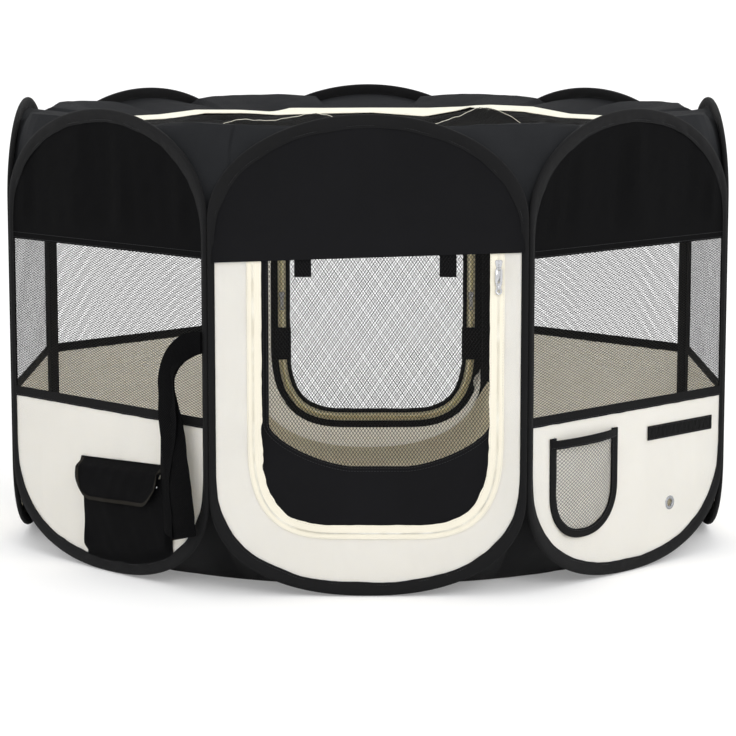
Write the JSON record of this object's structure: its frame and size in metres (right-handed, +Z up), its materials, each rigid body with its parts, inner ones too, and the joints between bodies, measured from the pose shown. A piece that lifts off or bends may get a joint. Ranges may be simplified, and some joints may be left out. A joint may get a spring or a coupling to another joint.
{
  "type": "foldable dog playpen",
  "caption": "Pop-up fabric playpen: sprung arch-topped panels with mesh windows in a ring, zipped doors, a mesh roof, a floor and outer pockets; it folds flat.",
  "frame": {"origin": "on the ground at the centre of the ring of panels", "axes": "+Z up; -Y towards the front panel with the zipped door and its long pull; +X to the right as seen from the front"},
  "size_m": [0.9278, 0.9307, 0.58],
  "materials": {
    "sleeve_black": "woven polyester folded over the hoop, matt",
    "cloth_black": "woven polyester, matt",
    "cloth_cream": "woven polyester, matt",
    "mesh_black": "open knitted polyester mesh",
    "roof_black": "thin woven polyester with a slight sheen",
    "floor_black": "coated woven polyester, water resistant",
    "zip_tape_cream": "woven zip tape",
    "spring_steel": "drawn spring wire",
    "zip_metal": "plated die cast metal",
    "webbing_black": "ribbed woven webbing and tape"
  },
  "bodies": {
    "front_panel": {"front_sleeve": "sleeve_black", "front_hoop_wire": "spring_steel", "front_upper_cloth": "cloth_black", "front_door_surround": "cloth_cream", "tie_tab_left": "webbing_black", "tie_tab_right": "webbing_black", "roof_gusset": "roof_black", "roof_zip_band": "zip_tape_cream", "base_gusset": "floor_black", "floor_sheet": "floor_black"},
    "right_front_panel": {"right_front_sleeve": "sleeve_black", "right_front_hoop_wire": "spring_steel", "right_front_upper_cloth": "cloth_black", "right_front_mesh_window": "mesh_black", "right_front_lower_cloth": "cloth_cream", "bottle_pocket": "mesh_black", "hook_and_loop_strip": "webbing_black", "eyelet": "zip_metal"},
    "right_panel": {"right_sleeve": "sleeve_black", "right_hoop_wire": "spring_steel", "right_upper_cloth": "cloth_black", "right_mesh_window": "mesh_black", "right_lower_cloth": "cloth_cream"},
    "right_back_panel": {"right_back_sleeve": "sleeve_black", "right_back_hoop_wire": "spring_steel", "right_back_upper_cloth": "cloth_black", "right_back_mesh_window": "mesh_black", "right_back_lower_cloth": "cloth_cream"},
    "back_panel": {"back_sleeve": "sleeve_black", "back_hoop_wire": "spring_steel", "back_upper_cloth": "cloth_black", "back_door_surround": "cloth_cream", "back_zip_tab_left": "webbing_black", "back_zip_tab_right": "webbing_black"},
    "left_front_panel": {"left_front_sleeve": "sleeve_black", "left_front_hoop_wire": "spring_steel", "left_front_upper_cloth": "cloth_black", "left_front_mesh_window": "mesh_black", "left_front_lower_cloth": "cloth_cream", "pocket_body": "cloth_black"},
    "left_panel": {"left_sleeve": "sleeve_black", "left_hoop_wire": "spring_steel", "left_upper_cloth": "cloth_black", "left_mesh_window": "mesh_black", "left_lower_cloth": "cloth_cream"},
    "left_back_panel": {"left_back_sleeve": "sleeve_black", "left_back_hoop_wire": "spring_steel", "left_back_upper_cloth": "cloth_black", "left_back_mesh_window": "mesh_black", "left_back_lower_cloth": "cloth_cream"},
    "front_door": {"front_door_cloth": "cloth_black", "front_door_mesh": "mesh_black"},
    "front_slider": {"front_zip_slider": "zip_metal"},
    "front_pull": {"front_zip_pull": "zip_metal"},
    "back_door": {"back_door_mesh": "mesh_black"},
    "back_slider_left": {"back_zip_slider_left": "zip_metal"},
    "back_slider_right": {"back_zip_slider_right": "zip_metal"},
    "flap": {"pocket_flap": "cloth_black"},
    "strap": {"webbing_strap": "webbing_black"},
    "roof_cover": {"roof_mesh": "mesh_black"}
  },
  "joints": [
    {"name": "fold_flat", "type": "hinge", "parent": "front_panel", "child": "right_front_panel", "pos_m": [0.191, -0.46111, 0], "axis": [0, 0, -1], "range_deg": [0, 43.5], "deforming": ["roof_gusset", "roof_zip_band", "roof_mesh", "base_gusset", "floor_sheet"]},
    {"name": "right_fold", "type": "hinge", "parent": "right_front_panel", "child": "right_panel", "pos_m": [0.46111, -0.191, 0], "axis": [0, 0, -1], "range_deg": [0, 43.5]},
    {"name": "right_back_fold", "type": "hinge", "parent": "right_panel", "child": "right_back_panel", "pos_m": [0.45776, 0.18961, 0], "axis": [0, 0, 1], "range_deg": [0, 130.5]},
    {"name": "back_fold", "type": "hinge", "parent": "right_back_panel", "child": "back_panel", "pos_m": [0.191, 0.46111, 0], "axis": [0, 0, -1], "range_deg": [0, 43.5]},
    {"name": "left_front_fold", "type": "hinge", "parent": "front_panel", "child": "left_front_panel", "pos_m": [-0.191, -0.46111, 0], "axis": [0, 0, 1], "range_deg": [0, 43.5]},
    {"name": "left_fold", "type": "hinge", "parent": "left_front_panel", "child": "left_panel", "pos_m": [-0.45776, -0.18961, 0], "axis": [0, 0, -1], "range_deg": [0, 130.5]},
    {"name": "left_back_fold", "type": "hinge", "parent": "left_panel", "child": "left_back_panel", "pos_m": [-0.46111, 0.191, 0], "axis": [0, 0, 1], "range_deg": [0, 43.5]},
    {"name": "front_door_swing", "type": "hinge", "parent": "front_panel", "child": "front_door", "pos_m": [0, -0.46152, 0.4077], "axis": [-1, 0, 0], "range_deg": [0, 110]},
    {"name": "front_zip_slide", "type": "slide", "parent": "front_door", "child": "front_slider", "axis": [0, 0, -1], "range_m": [0, 0.19]},
    {"name": "front_pull_swing", "type": "hinge", "parent": "front_slider", "child": "front_pull", "pos_m": [0.155, -0.46562, 0.3967], "axis": [-1, 0, 0], "range_deg": [0, 70]},
    {"name": "back_door_swing", "type": "hinge", "parent": "back_panel", "child": "back_door", "pos_m": [0, 0.46152, 0.4077], "axis": [1, 0, 0], "range_deg": [0, 110]},
    {"name": "back_zip_left_slide", "type": "slide", "parent": "back_panel", "child": "back_slider_left", "axis": [0, 0, 1], "range_m": [-0.02, 0.13]},
    {"name": "back_zip_right_slide", "type": "slide", "parent": "back_panel", "child": "back_slider_right", "axis": [0, 0, 1], "range_m": [-0.02, 0.13]},
    {"name": "pocket_flap_swing", "type": "hinge", "parent": "left_front_panel", "child": "flap", "pos_m": [-0.32698, -0.32698, 0.15], "axis": [-0.7071, 0.7071, 0], "range_deg": [0, 110]},
    {"name": "strap_swing", "type": "hinge", "parent": "left_front_panel", "child": "strap", "pos_m": [-0.19842, -0.46147, 0], "axis": [0, 0, 1], "range_deg": [0, 90]},
    {"name": "roof_cover_lift", "type": "slide", "parent": "front_panel", "child": "roof_cover", "axis": [0, 0, 1], "range_m": [0, 0.12]}
  ],
  "couplings": [
    {"joint": "right_fold", "follows": "fold_flat", "ratio": 1},
    {"joint": "right_back_fold", "follows": "fold_flat", "ratio": 3},
    {"joint": "back_fold", "follows": "fold_flat", "ratio": 1},
    {"joint": "left_front_fold", "follows": "fold_flat", "ratio": 1},
    {"joint": "left_fold", "follows": "fold_flat", "ratio": 3},
    {"joint": "left_back_fold", "follows": "fold_flat", "ratio": 1}
  ]
}
